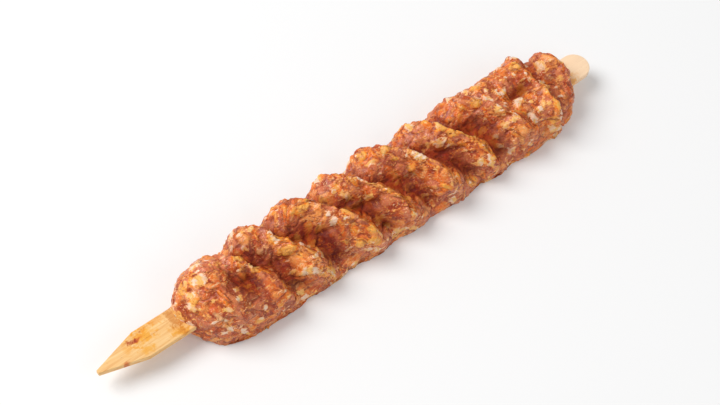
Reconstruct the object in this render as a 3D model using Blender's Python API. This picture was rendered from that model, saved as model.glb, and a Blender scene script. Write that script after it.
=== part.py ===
"""Kofta skewer: raw minced meat squeezed by hand onto a flat wooden stick.

Metres, +Z up. X runs along the stick from its pointed tip to its rounded end, and the meat
lies on Z = 0. Distances along the skewer ("from the tip") are measured from the pointed tip.
A turn is an angle round the stick: 0 is the middle of the top, positive runs down the -Y side.
"""

import math

import bmesh
import bpy

# Wooden stick
STICK_LENGTH = 0.200
STICK_WIDTH = 0.0102
STICK_THICKNESS = 0.0020
STICK_MID_HEIGHT = 0.0074
TIP_LENGTH = 0.0155
TIP_WIDTH = 0.0013
STICK_EDGE_ROUNDING = 0.0003
STICK_EDGE_ANGLE = math.radians(60)
END_ARC_STEPS = 12
WOOD_COLOUR = (0.84, 0.60, 0.32)
WOOD_ROUGHNESS = 0.60

# Loaf of meat, before the fingers press it
MEAT_FROM_TIP = 0.0295
MEAT_TO_TIP = 0.1890
MEAT_HALF_WIDTH = 0.0146
MEAT_NEAR_WIDTH = 0.0155
MEAT_TOP = 0.0192
CORE_HEIGHT = 0.0085
UNDERSIDE_DEPTH = 0.0150
SECTION_SQUARENESS = 2.5
FOOT_SQUARENESS = 4.5
NOSE_SIDEWAYS = 0.0010
NOSE_SLANT = 0.0011
MINCE_COLOUR = (0.36, 0.095, 0.040)
MINCE_ROUGHNESS = 0.42

# Slot that the stick fills
SLOT_CLEARANCE = 0.0003
SLOT_OVERRUN = 0.020

# Lengths over which the loaf closes at its two ends, and how round it closes
NOSE_NEAR = 0.0180
NOSE_FAR = 0.0200
NOSE_TOP = 0.0075
NOSE_ROUNDNESS = 1.9
TAIL_NEAR = 0.0200
TAIL_FAR = 0.0140
TAIL_TOP = 0.0055
TAIL_ROUNDNESS = 2.3
END_TOP_TURN = math.radians(15)
END_SIDE_TURN = math.radians(75)

# Core that the fingers stop at, round the stick
CORE_HALF_WIDTH = 0.0092
CORE_RISE = 0.0026
CORE_SQUARENESS = 2.0

# Squeezed ridges: (crest from the tip, its height as a share of the skin's, valley after it from
# the tip, that valley's depth as a share of the way down to the core)
RIDGES = (
    (0.0525, 1.00, 0.0575, 0.88),
    (0.0676, 0.93, 0.0744, 0.98),
    (0.0872, 1.03, 0.0937, 1.00),
    (0.1022, 1.00, 0.1095, 0.94),
    (0.1204, 1.03, 0.1278, 1.00),
    (0.1370, 0.98, 0.1432, 0.97),
    (0.1532, 0.98, 0.1584, 0.42),
    (0.1726, 1.00, 0.1776, 0.66),
    (0.1843, 0.86, 0.1930, 0.40),
)
RIDGE_TWIST = 0.0130
TAIL_TWIST_NEAR = 0.1
TAIL_TWIST_FAR = -0.4
FAR_FROM_TURN = math.radians(-10)
FAR_TO_TURN = math.radians(-60)
TAIL_TWIST_FROM = 0.160
TAIL_TWIST_TO = 0.176
TWIST_TURN = math.radians(130)
RIDGE_LEAN = 0.0034
LEAN_TURN = math.radians(35)
RISE_SHARPNESS = 2.1
DROP_SHARPNESS = 0.9
CREST_ROUNDING = 0.0006

# Turns between which the rise to a crest goes from a scoop on top to a dome down each side
SCOOPED_TURN = math.radians(5)
DOMED_TURN = math.radians(-70)
NEAR_SCOOPED_TURN = math.radians(36)
NEAR_DOMED_TURN = math.radians(84)

# Foot of the meat, where pressing on the board evens the ridges out
FOOT_EVENING = 0.78
FOOT_FROM_TURN = math.radians(93)
FOOT_TO_TURN = math.radians(113)

# Single finger dents and lumps: (from the tip, turn in degrees, half-length, half-width, depth)
DENTS = (
    (0.0500, 38, 0.0044, 0.0080, 0.0046),
    (0.0468, 8, 0.0020, 0.0062, 0.0022),
    (0.0572, 16, 0.0024, 0.0045, 0.0016),
    (0.0350, 36, 0.0016, 0.0020, 0.0012),
    (0.0405, 30, 0.0020, 0.0075, -0.0010),
    (0.0575, -42, 0.0045, 0.0065, -0.0032),
    (0.0690, 8, 0.0026, 0.0036, -0.0010),
    (0.1672, -2, 0.0056, 0.0062, 0.0044),
    (0.0480, -70, 0.0100, 0.0080, 0.0016),
    (0.0395, -14, 0.0060, 0.0070, -0.0007),
    (0.0620, -28, 0.0070, 0.0060, -0.0012),
    (0.0780, -38, 0.0060, 0.0060, -0.0012),
    (0.1660, 42, 0.0080, 0.0060, -0.0008),
    (0.1535, 52, 0.0050, 0.0050, -0.0012),
)

# Hand-made unevenness: (waves along, waves round, phase, height)
LUMPS = (
    (5.0, 2, 0.4, 0.00030),
    (9.0, 3, 1.9, 0.00028),
    (17.0, 4, 4.1, 0.00024),
    (29.0, 5, 2.6, 0.00018),
)

# Mesh fineness
STEPS_ALONG = 128
END_CROWDING = 0.020
STEPS_OVER = 30
STEPS_UNDER = 4
EDGE_TURN = math.radians(128)
STRAIGHT_ENDS = 0.030


def smooth_step(low, high, value):
    """0 up to low, 1 from high on, with an even blend between; low may be the larger one."""
    share = min(max((value - low) / (high - low), 0.0), 1.0)
    return share * share * (3 - 2 * share)


def new_material(name, colour, roughness):
    material = bpy.data.materials.new(name)
    material.use_nodes = True
    shader = material.node_tree.nodes["Principled BSDF"]
    shader.inputs["Base Color"].default_value = (*colour, 1.0)
    shader.inputs["Roughness"].default_value = roughness
    shader.inputs["Metallic"].default_value = 0.0
    material.diffuse_color = (*colour, 1.0)
    return material


def link_object(name, mesh, material):
    mesh.materials.append(material)
    piece = bpy.data.objects.new(name, mesh)
    bpy.context.scene.collection.objects.link(piece)
    return piece


def stick_outline():
    """Plan of the stick from its pointed tip round to its half-round end."""
    half = STICK_WIDTH / 2
    points = [(0.0, -TIP_WIDTH / 2), (TIP_LENGTH, -half)]
    for step in range(END_ARC_STEPS + 1):
        angle = math.pi * step / END_ARC_STEPS - math.pi / 2
        x = STICK_LENGTH - half + half * math.cos(angle)
        points.append((x, half * math.sin(angle)))
    points.append((TIP_LENGTH, half))
    points.append((0.0, TIP_WIDTH / 2))
    return points


def make_stick(material):
    mesh = bpy.data.meshes.new("wooden_stick")
    build = bmesh.new()
    underside = STICK_MID_HEIGHT - STICK_THICKNESS / 2
    corners = [build.verts.new((x, y, underside)) for x, y in stick_outline()]
    face = build.faces.new(corners)
    raised = bmesh.ops.extrude_face_region(build, geom=[face])["geom"]
    lifted = [item for item in raised if isinstance(item, bmesh.types.BMVert)]
    bmesh.ops.translate(build, verts=lifted, vec=(0.0, 0.0, STICK_THICKNESS))
    bmesh.ops.recalc_face_normals(build, faces=build.faces)
    build.to_mesh(mesh)
    build.free()
    stick = link_object("wooden_stick", mesh, material)
    rounding = stick.modifiers.new("Sanded edges", "BEVEL")
    rounding.width = STICK_EDGE_ROUNDING
    rounding.segments = 1
    rounding.limit_method = "ANGLE"
    rounding.angle_limit = STICK_EDGE_ANGLE
    return stick


def ridge_share(x, turn):
    """How high the squeezed surface stands at x: about 1 on a crest, 0 down on the core."""
    roundness = smooth_step(SCOOPED_TURN, DOMED_TURN, turn)
    roundness += smooth_step(NEAR_SCOOPED_TURN, NEAR_DOMED_TURN, turn)
    floor_x = None
    floor = 1.0
    for crest, height, valley, depth in RIDGES:
        if x <= valley:
            break
        floor_x = valley
        floor = 1 - depth
    else:
        return floor
    if x > crest:
        share = (x - crest) / (valley - crest)
        return height - (height - 1 + depth) * share**DROP_SHARPNESS
    if floor_x is None:
        return height
    share = (x - floor_x) / (crest - floor_x)
    scoop = share**RISE_SHARPNESS
    dome = 1 - (1 - share) ** 2
    return floor + (height - floor) * (scoop + (dome - scoop) * roundness)


def rounded_ridge_share(x, turn):
    """The ridges' share of height, evened out a little along the skewer so that crests are round."""
    beside = ridge_share(x + CREST_ROUNDING, turn) + ridge_share(x - CREST_ROUNDING, turn)
    return ridge_share(x, turn) / 2 + beside / 4


def foot_share(turn):
    """Share of the ridges' depth left at this turn: all of it down the sides, little at the foot."""
    return 1 - FOOT_EVENING * smooth_step(FOOT_FROM_TURN, FOOT_TO_TURN, abs(turn))


def dent_depth(x, turn):
    depth = 0.0
    for centre, degrees, half_length, half_width, deepest in DENTS:
        along = (x - centre) / half_length
        around = (turn - math.radians(degrees)) * MEAT_HALF_WIDTH / half_width
        depth += deepest * math.exp(-(along**2 + around**2))
    return depth


def unevenness(x, turn):
    total = 0.0
    for along, around, phase, height in LUMPS:
        wave = 2 * math.pi * along * x / STICK_LENGTH
        total += height * math.sin(wave + phase) * math.cos(around * turn - phase)
    return total


def section_radius(turn, half_width, rise, squareness):
    """Distance from the loaf's axis to a section of this half width and this rise over the axis."""
    half_height = rise
    if math.cos(turn) < 0:
        half_height = UNDERSIDE_DEPTH
        squareness = max(squareness, FOOT_SQUARENESS)
    across = abs(math.sin(turn)) / half_width
    upward = abs(math.cos(turn)) / half_height
    return (across**squareness + upward**squareness) ** (-1 / squareness)


def closing(distance, turn, near, far, top, roundness):
    """Share of the full section left at this distance from an end of the loaf."""
    nearness = 0.5 + 0.5 * min(max(math.sin(turn) / math.sin(EDGE_TURN), -1.0), 1.0)
    if abs(turn) < math.pi / 2:
        nearness = 1.0 if turn > 0 else 0.0
    side = far + (near - far) * nearness
    length = top + (side - top) * smooth_step(END_TOP_TURN, END_SIDE_TURN, abs(turn))
    inside = min(max(distance / length, 0.0), 1.0)
    return (1 - (1 - inside) ** roundness) ** (1 / roundness)


def slanted(turn):
    """The turn, run evenly back to 0 across the underside, so that slanted lines close up there."""
    if abs(turn) <= EDGE_TURN:
        return turn
    back = EDGE_TURN * (math.pi - abs(turn)) / (math.pi - EDGE_TURN)
    return math.copysign(back, turn)


def meat_point(ring_x, turn):
    """Surface point of the meat on the ring that crosses the middle of the top at ring_x."""
    straight = smooth_step(0.0, STRAIGHT_ENDS, ring_x - MEAT_FROM_TIP)
    straight *= smooth_step(0.0, STRAIGHT_ENDS, MEAT_TO_TIP - ring_x)
    tail = smooth_step(TAIL_TWIST_FROM, TAIL_TWIST_TO, ring_x)
    far = smooth_step(FAR_FROM_TURN, FAR_TO_TURN, turn)
    tail_share = TAIL_TWIST_NEAR + (TAIL_TWIST_FAR - TAIL_TWIST_NEAR) * far
    slant = RIDGE_TWIST * (1 - (1 - tail_share) * tail) * slanted(turn) / TWIST_TURN
    x = ring_x + slant * straight
    ridge = 1 - (1 - rounded_ridge_share(x - slant, turn)) * foot_share(turn)
    width = MEAT_HALF_WIDTH
    width += (MEAT_NEAR_WIDTH - MEAT_HALF_WIDTH) * smooth_step(0.0, math.pi / 2, turn)
    skin = section_radius(turn, width, MEAT_TOP - CORE_HEIGHT, SECTION_SQUARENESS)
    core = section_radius(turn, CORE_HALF_WIDTH, CORE_RISE, CORE_SQUARENESS)
    pressed = core + (skin - core) * ridge
    nose = closing(x - MEAT_FROM_TIP, turn, NOSE_NEAR, NOSE_FAR, NOSE_TOP, NOSE_ROUNDNESS)
    end = closing(MEAT_TO_TIP - x, turn, TAIL_NEAR, TAIL_FAR, TAIL_TOP, TAIL_ROUNDNESS)
    radius = (pressed - dent_depth(x, turn) + unevenness(x, turn)) * nose * end
    upward = math.sqrt(max(math.cos(turn - LEAN_TURN), 0.0))
    lean = RIDGE_LEAN * (ridge - 0.5) * upward * nose * end
    y = NOSE_SIDEWAYS * (1 - nose) - radius * math.sin(turn)
    z = CORE_HEIGHT + radius * math.cos(turn)
    nearward = min(max(-2 * y / STICK_WIDTH, -1.0), 1.0)
    return (x + lean + NOSE_SLANT * (1 - nose) * nearward, y, max(z, 0.0))


def meat_stations():
    """Distances from the tip of the rings of the meat, closer together at both ends."""
    stations = []
    for step in range(1, STEPS_ALONG):
        even = step / STEPS_ALONG
        eased = even - END_CROWDING * math.sin(2 * math.pi * even)
        stations.append(MEAT_FROM_TIP + (MEAT_TO_TIP - MEAT_FROM_TIP) * eased)
    return stations


def meat_turns():
    """Turns of the points of one ring, close together over the top and sparse underneath."""
    over = [EDGE_TURN * (2 * step / STEPS_OVER - 1) for step in range(STEPS_OVER + 1)]
    gap = 2 * (math.pi - EDGE_TURN)
    under = [EDGE_TURN + gap * step / STEPS_UNDER for step in range(1, STEPS_UNDER)]
    return over + [turn - 2 * math.pi if turn > math.pi else turn for turn in under]


def make_meat(material):
    mesh = bpy.data.meshes.new("minced_meat")
    build = bmesh.new()
    turns = meat_turns()
    rings = []
    for x in meat_stations():
        rings.append([build.verts.new(meat_point(x, turn)) for turn in turns])
    count = len(turns)
    for ring, following in zip(rings, rings[1:]):
        for i in range(count):
            j = (i + 1) % count
            build.faces.new((ring[i], ring[j], following[j], following[i]))
    for ring, end_x in ((rings[0], MEAT_FROM_TIP), (rings[-1], MEAT_TO_TIP)):
        pole = build.verts.new((end_x, 0.0, CORE_HEIGHT))
        for i in range(count):
            build.faces.new((ring[i], ring[(i + 1) % count], pole))
    bmesh.ops.recalc_face_normals(build, faces=build.faces)
    build.to_mesh(mesh)
    build.free()
    meat = link_object("minced_meat", mesh, material)
    mesh.shade_smooth()
    return meat


def cut_stick_slot(meat):
    """Opens the straight slot that the stick fills, clear of the wood all round."""
    mesh = bpy.data.meshes.new("stick_slot")
    build = bmesh.new()
    bmesh.ops.create_cube(build, size=1.0)
    length = STICK_LENGTH + 2 * SLOT_OVERRUN
    width = STICK_WIDTH + 2 * SLOT_CLEARANCE
    height = STICK_THICKNESS + 2 * SLOT_CLEARANCE
    bmesh.ops.scale(build, verts=build.verts, vec=(length, width, height))
    middle = (STICK_LENGTH / 2, 0.0, STICK_MID_HEIGHT)
    bmesh.ops.translate(build, verts=build.verts, vec=middle)
    build.to_mesh(mesh)
    build.free()
    cutter = bpy.data.objects.new("stick_slot", mesh)
    bpy.context.scene.collection.objects.link(cutter)
    cutter.hide_render = True
    cutter.display_type = "WIRE"
    cut = meat.modifiers.new("Slot for the stick", "BOOLEAN")
    cut.operation = "DIFFERENCE"
    cut.solver = "EXACT"
    cut.object = cutter
    return cutter


def centre_on_origin(pieces, cutter):
    """Hangs every piece on one empty, placed so that the middle of the footprint is the origin."""
    points = [vertex.co for piece in pieces for vertex in piece.data.vertices]
    middle_x = (min(p.x for p in points) + max(p.x for p in points)) / 2
    middle_y = (min(p.y for p in points) + max(p.y for p in points)) / 2
    skewer = bpy.data.objects.new("skewer", None)
    bpy.context.scene.collection.objects.link(skewer)
    skewer.location = (-middle_x, -middle_y, 0.0)
    for piece in (*pieces, cutter):
        piece.parent = skewer


def main():
    for item in list(bpy.data.objects):
        bpy.data.objects.remove(item, do_unlink=True)
    wood = new_material("pale birch wood", WOOD_COLOUR, WOOD_ROUGHNESS)
    mince = new_material("raw minced meat", MINCE_COLOUR, MINCE_ROUGHNESS)
    stick = make_stick(wood)
    meat = make_meat(mince)
    cutter = cut_stick_slot(meat)
    centre_on_origin([stick, meat], cutter)


main()
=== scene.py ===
import itertools
import math

import bpy
import numpy as np
from mathutils import Matrix, Vector, kdtree


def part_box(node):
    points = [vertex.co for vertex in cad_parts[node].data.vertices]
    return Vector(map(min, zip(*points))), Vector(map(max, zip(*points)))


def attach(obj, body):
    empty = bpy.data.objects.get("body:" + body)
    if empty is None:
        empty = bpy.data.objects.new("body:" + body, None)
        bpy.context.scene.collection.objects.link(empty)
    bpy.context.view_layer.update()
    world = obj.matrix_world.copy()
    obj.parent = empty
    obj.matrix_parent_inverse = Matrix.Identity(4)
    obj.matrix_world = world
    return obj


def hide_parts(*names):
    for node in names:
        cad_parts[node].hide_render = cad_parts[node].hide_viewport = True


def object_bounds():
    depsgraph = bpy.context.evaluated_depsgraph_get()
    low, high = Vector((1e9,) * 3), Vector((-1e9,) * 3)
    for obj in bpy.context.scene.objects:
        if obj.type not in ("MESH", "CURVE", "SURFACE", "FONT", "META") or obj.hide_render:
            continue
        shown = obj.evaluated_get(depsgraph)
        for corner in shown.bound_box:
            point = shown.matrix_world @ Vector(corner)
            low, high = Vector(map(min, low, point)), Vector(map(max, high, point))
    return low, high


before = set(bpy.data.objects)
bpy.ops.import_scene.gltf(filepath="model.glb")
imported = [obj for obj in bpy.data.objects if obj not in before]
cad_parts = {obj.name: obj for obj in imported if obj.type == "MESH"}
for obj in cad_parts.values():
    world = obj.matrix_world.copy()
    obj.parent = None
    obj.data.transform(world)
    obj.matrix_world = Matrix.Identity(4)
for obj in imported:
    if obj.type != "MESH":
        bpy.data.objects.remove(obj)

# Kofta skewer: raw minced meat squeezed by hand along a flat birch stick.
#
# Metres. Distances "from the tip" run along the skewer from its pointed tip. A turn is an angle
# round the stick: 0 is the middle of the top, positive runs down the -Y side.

CAD_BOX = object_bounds()
MM = 0.001
TINY = 1e-9
LEAST_AREA = 1e-12

# ---------------------------------------------------------------- the skewer's measures

STICK_LOW, STICK_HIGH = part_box("wooden_stick")
STICK_LENGTH = STICK_HIGH.x - STICK_LOW.x
STICK_WIDTH = STICK_HIGH.y - STICK_LOW.y
STICK_THICKNESS = STICK_HIGH.z - STICK_LOW.z
STICK_MID_HEIGHT = (STICK_HIGH.z + STICK_LOW.z) / 2
TIP_X = STICK_LOW.x
AXIS_Y = (STICK_HIGH.y + STICK_LOW.y) / 2
TIP_LENGTH = 15.5 * MM
TIP_WIDTH = 1.3 * MM
STICK_EDGE_ROUNDING = 0.3 * MM
STICK_SHARP_ANGLE = math.radians(35)
END_ARC_STEPS = 40
EDGE_STEPS = 4

# The meat from end to end, its half width on the far and the near side, and its height. A section is
# drawn about a line at CORE_HEIGHT, and the board cuts it flat where it would reach lower.
MEAT_FROM_TIP = 29.5 * MM
MEAT_TO_TIP = 189.0 * MM
MEAT_HALF_WIDTH = 14.6 * MM
MEAT_NEAR_WIDTH = 15.5 * MM
MEAT_TOP = 19.2 * MM
CORE_HEIGHT = 8.5 * MM
UNDERSIDE_DEPTH = 15.0 * MM
SECTION_SQUARENESS = 2.5
FOOT_SQUARENESS = 4.5
NOSE_SIDEWAYS = 1.0 * MM
NOSE_SIDEWAYS_SHARES = (0.15, 0.5)

# How far from each end of the meat its section is full: on the near side, the far side and the top
NOSE_NEAR = 18.0 * MM
NOSE_FAR = 20.0 * MM
NOSE_TOP = 7.5 * MM
NOSE_ROUNDNESS = 1.9
NOSE_SLANT = 1.1 * MM
TAIL_NEAR = 20.0 * MM
TAIL_FAR = 14.0 * MM
TAIL_TOP = 5.5 * MM
TAIL_ROUNDNESS = 2.3
END_TOP_TURN = math.radians(15)
END_SIDE_TURN = math.radians(75)

# The core that the valleys go down to
CORE_HALF_WIDTH = 9.2 * MM
CORE_RISE = 2.6 * MM
CORE_SQUARENESS = 2.0

# Squeezed ridges: (crest from the tip, its height as a share of the skin's, valley after it from
# the tip, that valley's depth as a share of the way down to the core)
RIDGES = (
    (0.0525, 1.00, 0.0575, 0.88),
    (0.0676, 0.93, 0.0744, 0.98),
    (0.0872, 1.03, 0.0937, 1.00),
    (0.1022, 1.00, 0.1095, 0.94),
    (0.1204, 1.03, 0.1278, 1.00),
    (0.1370, 0.98, 0.1432, 0.97),
    (0.1532, 0.98, 0.1584, 0.42),
    (0.1726, 1.00, 0.1776, 0.66),
    (0.1843, 0.86, 0.1930, 0.40),
)

# How the ridges run: slanted round the stick, scooped on their pointed side and steep on the other
RIDGE_TWIST = 13.0 * MM
TAIL_TWIST_NEAR = 0.1
TAIL_TWIST_FAR = -0.4
FAR_FROM_TURN = math.radians(-10)
FAR_TO_TURN = math.radians(-60)
TAIL_TWIST_FROM = 160 * MM
TAIL_TWIST_TO = 176 * MM
TWIST_TURN = math.radians(130)
RIDGE_LEAN = 3.4 * MM
CREST_ROUNDING = 0.6 * MM
RISE_SHARPNESS = 2.1
DROP_SHARPNESS = 0.9
SCOOPED_TURN = math.radians(5)
DOMED_TURN = math.radians(-70)
NEAR_SCOOPED_TURN = math.radians(36)
NEAR_DOMED_TURN = math.radians(84)
LEAN_TURN = math.radians(35)
FOOT_EVENING = 0.78
FOOT_FROM_TURN = math.radians(93)
FOOT_TO_TURN = math.radians(113)

# Single finger dents and lumps: (from the tip, turn in degrees, half-length, half-width, depth)
DENTS = (
    (0.0500, 38, 0.0044, 0.0080, 0.0046),
    (0.0468, 8, 0.0020, 0.0062, 0.0022),
    (0.0572, 16, 0.0024, 0.0045, 0.0016),
    (0.0350, 36, 0.0016, 0.0020, 0.0012),
    (0.0405, 30, 0.0020, 0.0075, -0.0010),
    (0.0575, -42, 0.0045, 0.0065, -0.0032),
    (0.0690, 8, 0.0026, 0.0036, -0.0010),
    (0.1672, -2, 0.0056, 0.0062, 0.0044),
    (0.0480, -70, 0.0100, 0.0080, 0.0016),
    (0.0395, -14, 0.0060, 0.0070, -0.0007),
    (0.0620, -28, 0.0070, 0.0060, -0.0012),
    (0.0780, -38, 0.0060, 0.0060, -0.0012),
    (0.1660, 42, 0.0080, 0.0060, -0.0008),
    (0.1535, 52, 0.0050, 0.0050, -0.0012),
)

# Hand-made unevenness: (waves along, waves round, phase, height)
LUMPS = (
    (5.0, 2, 0.4, 0.00030),
    (9.0, 3, 1.9, 0.00028),
    (17.0, 4, 4.1, 0.00024),
    (29.0, 5, 2.6, 0.00018),
)

# ---------------------------------------------------------------- mesh fineness and mouths

RING_STEP = 0.42 * MM
END_ZONE = 5.0 * MM
END_CROWDING = 2.3
COLUMNS_OVER = 200
COLUMNS_UNDER = 28
EDGE_TURN = math.radians(128)
STRAIGHT_ENDS = 30 * MM

# The mouths, where the meat closes on the stick and presses a little into it
MOUTH_PRESS = 0.1 * MM
MOUTH_SHARE = 0.4
HIGHEST_MOUTH_CENTRE = STICK_HIGH.z - 2 * MOUTH_PRESS
AXIS_RISE = (0.1, 0.8)

# A dent this deep gets as much painted shade as a valley does, and a rim is a crest this wide
DENT_SHADE_DEPTH = 4.2 * MM
RIM_WIDTH = 2.2 * MM

# ---------------------------------------------------------------- mince

SEED = 7
SWIRL_SEED = SEED
NUGGET_SEED = SEED + 10
GRAIN_SEED = SEED + 20
FAT_SEED = SEED + 30
SHRED_SEED = SEED + 40
WOBBLE_SEED = SEED + 50
GOLD_SEED = SEED + 50
RAGGED_SEED = SEED + 55
KNOB_SEED = SEED + 60
SMEAR_SEED = SEED + 70
FOLD_SEED = SEED + 80

# Sizes across the surface, heights off it, and sinks: how far down its own height a relief is let
WOBBLE_SIZE = 9.0 * MM
WOBBLE_REACH = 1.6 * MM
RAGGED_SIZE = 3.2 * MM
RAGGED_REACH = 0.7 * MM
KNOB_SIZE = 6.5 * MM
KNOB_RELIEF = 0.75 * MM
KNOB_SINK = 0.15
NUGGET_SIZE = 2.6 * MM
NUGGET_RELIEF = 0.48 * MM
NUGGET_SHOULDER = 0.55
NUGGET_SINK = 0.8
NUGGET_UNEVENNESS = 0.45 * MM
NUGGET_BROW = 0.5
GRAIN_SIZE = 1.2 * MM
GRAIN_RELIEF = 0.22 * MM
GRAIN_SHOULDER = 0.6
GRAIN_SINK = 0.6
DRAWN_OUT = (1.05, 0.48, 0.58)
FOLD_SIZE = 3.6 * MM
FOLD_DEPTH = 0.45 * MM
FOLD_EDGE = 0.80
FOLD_SINK = 0.2
FOLDED = (1.0, 0.55, 0.7)
SHRED_SIZE = 1.1 * MM
SHRED_RELIEF = 0.17 * MM
SMEAR_SIZE = 9.0 * MM
SMEARED = (-0.25, 0.35)
SMEAR_EVENING = 0.65
SWIRL_SIZE = 5.0 * MM
SWIRL_REACH = 2.4 * MM
OFF_PLACE = 0.48
SMOOTH_MOUTHS = (0.15, 0.6)

# Bits strewn through the mince: how many are tried, their sizes, and their chances
FAT_BITS = 600
FAT_SMALLEST = 0.5 * MM
FAT_LARGEST = 2.3 * MM
FAT_IN_HOLLOWS = 0.30
GOLD_BITS = 1100
GOLD_SMALLEST = 0.9 * MM
GOLD_LARGEST = 2.6 * MM
GOLD_IN_HOLLOWS = 0.04
GOLD_ON_RIMS = (0.05, 0.35)
BIT_SMALLNESS = 1.5
BIT_STRETCH = (1.0, 2.2)
BIT_RELIEF = 0.22 * MM
BIT_SHOULDER = 0.6

# Shares of the lumps that are paste-coloured and mauve, and where there are more or fewer of them.
# A lump's own random number times a shuffle, less the whole part, is a fresh random number.
PASTE_SHARE = 0.25
PASTE_ON_CRESTS = 0.36
PASTE_CREST = 0.40
PASTE_LOST_IN_SMEARS = 0.10
MAUVE_SHARE = 0.27
MAUVE_IN_SMEARS = 0.25
LEAN_NOSE = 0.16
LEAN_NOSE_FROM = 42 * MM
LEAN_NOSE_TO = 60 * MM
KIND_SHUFFLE = 7.3
TONE_SHUFFLE = 3.7
# How sharp a crest's rim must be to get golden paste colour and a painted highlight
RIM_HIGHLIGHT_RANGE = (0.05, 0.45)

# Larger bits that show on the top and near side: (mm from the tip, turn in degrees, half-length and
# half-width in mm, how far its length is swung round from the skewer's in degrees, height in mm,
# what it is)
BITS = (
    (39, -10, 4.2, 2.8, 15, 0.25, "fat"),
    (34, 10, 2.4, 1.7, 20, 0.15, "paste"),
    (38, 60, 3.4, 1.1, 65, 0.40, "tendon"),
    (51, 20, 2.2, 1.6, 0, 0.20, "paste"),
    (62, -10, 2.4, 1.7, 20, 0.60, "tendon"),
    (68, 25, 4.4, 2.4, 0, 0.60, "paste"),
    (59, -45, 1.8, 1.1, 0, 0.20, "fat"),
    (70, 70, 3.0, 2.2, 10, 0.30, "fat"),
    (66, 95, 2.4, 2.2, 0, 0.30, "tendon"),
    (74, 80, 2.4, 2.4, 0, 0.20, "paste"),
    (69, 115, 4.5, 1.0, 0, 0.15, "fat"),
    (49, 90, 2.4, 1.6, 0, 0.20, "paste"),
    (80, -30, 5.0, 1.7, 10, 0.40, "paste"),
    (90, 40, 2.6, 1.6, 60, 0.20, "paste"),
    (94, 80, 3.4, 2.8, 0, 0.20, "paste"),
    (93, -70, 2.6, 1.7, 0, 0.30, "fat"),
    (96, -20, 2.4, 1.5, 10, 0.60, "tendon"),
    (97, 15, 3.0, 1.8, 0, 0.70, "tendon"),
    (109, -60, 3.0, 2.2, 0, 0.50, "paste"),
    (116, -35, 2.8, 1.6, 0, 0.30, "paste"),
    (119, 20, 2.2, 1.7, 0, 0.20, "paste"),
    (116, 65, 2.6, 1.8, 0, 0.50, "tendon"),
    (111, 80, 2.6, 1.4, 45, 0.30, "fat"),
    (106, 105, 4.8, 1.8, 0, 0.15, "fat"),
    (133, 0, 2.8, 2.0, 30, 0.25, "fat"),
    (138, 5, 3.2, 1.9, 35, 0.30, "paste"),
    (151, 65, 1.8, 1.4, 0, 0.50, "fat"),
    (172, -40, 3.6, 2.8, 0, 0.40, "paste"),
    (169, -60, 1.9, 1.6, 0, 0.40, "fat"),
    (169, 55, 2.1, 1.6, 0, 0.40, "fat"),
    (158, 45, 1.8, 1.4, 0, 0.30, "fat"),
    (172, 80, 2.0, 2.4, 0, 0.20, "paste"),
    (181, 10, 2.2, 1.4, 40, 0.30, "tendon"),
)


def blend(low, high, value):
    """0 up to low, 1 from high on, with an even blend between; low may be the larger one."""
    share = np.clip((value - low) / (high - low), 0.0, 1.0)
    return share * share * (3 - 2 * share)


# ---------------------------------------------------------------- noise that fills space

LATTICE = 32


def lattice_noise(seed):
    """A function (points, size) whose smooth values, from -1 to 1, change over that size."""
    values = np.random.default_rng(seed).uniform(-1, 1, (LATTICE, LATTICE, LATTICE))

    def noise(points, size):
        at = points / size
        cell = np.floor(at).astype(int)
        part = at - cell
        part = part * part * (3 - 2 * part)
        total = np.zeros(points.shape[:-1])
        for corner in itertools.product((0, 1), repeat=3):
            weight = np.ones(points.shape[:-1])
            for axis, upper in enumerate(corner):
                weight = weight * (part[..., axis] if upper else 1 - part[..., axis])
            i, j, k = (np.mod(cell[..., axis] + corner[axis], LATTICE) for axis in range(3))
            total += weight * values[i, j, k]
        return total

    return noise


def swirled(points, size, reach, seed):
    """The points, each pushed by smooth noise, so that what is laid out on them swirls."""
    pushes = [lattice_noise(seed + axis)(points, size) for axis in range(3)]
    return points + reach * np.stack(pushes, -1)


# ---------------------------------------------------------------- shape of the meat


def ridge_share(x, turn):
    """How high the squeezed surface stands at x: about 1 on a crest, 0 down on the core."""
    roundness = blend(SCOOPED_TURN, DOMED_TURN, turn) + blend(NEAR_SCOOPED_TURN, NEAR_DOMED_TURN, turn)
    result = np.full(x.shape, 1 - RIDGES[-1][3])
    floor_x = None
    floor = 1.0
    for crest, height, valley, depth in RIDGES:
        drop = np.clip((x - crest) / (valley - crest), 0, 1)
        falling = height - (height - 1 + depth) * drop**DROP_SHARPNESS
        if floor_x is None:
            rising = np.full(x.shape, height)
            here = x <= valley
        else:
            climb = np.clip((x - floor_x) / (crest - floor_x), 0, 1)
            scoop = climb**RISE_SHARPNESS
            dome = 1 - (1 - climb) ** 2
            rising = floor + (height - floor) * (scoop + (dome - scoop) * roundness)
            here = (x > floor_x) & (x <= valley)
        result = np.where(here, np.where(x > crest, falling, rising), result)
        floor_x = valley
        floor = 1 - depth
    return result


def rounded_ridge_share(x, turn):
    """The ridges' share of height, evened out a little along the skewer so that crests are round."""
    ahead = ridge_share(x + CREST_ROUNDING, turn)
    behind = ridge_share(x - CREST_ROUNDING, turn)
    return (ahead + 2 * ridge_share(x, turn) + behind) / 4


def foot_share(turn):
    """Share of the ridges' depth left at this turn: all of it down the sides, little at the foot."""
    return 1 - FOOT_EVENING * blend(FOOT_FROM_TURN, FOOT_TO_TURN, np.abs(turn))


def dent_depth(x, turn):
    """How far the finger dents press in here, or with a minus how far a lump stands up."""
    depth = np.zeros(x.shape)
    for centre, degrees, half_length, half_width, deepest in DENTS:
        along = (x - centre) / half_length
        around = (turn - math.radians(degrees)) * MEAT_HALF_WIDTH / half_width
        depth += deepest * np.exp(-(along**2 + around**2))
    return depth


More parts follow.
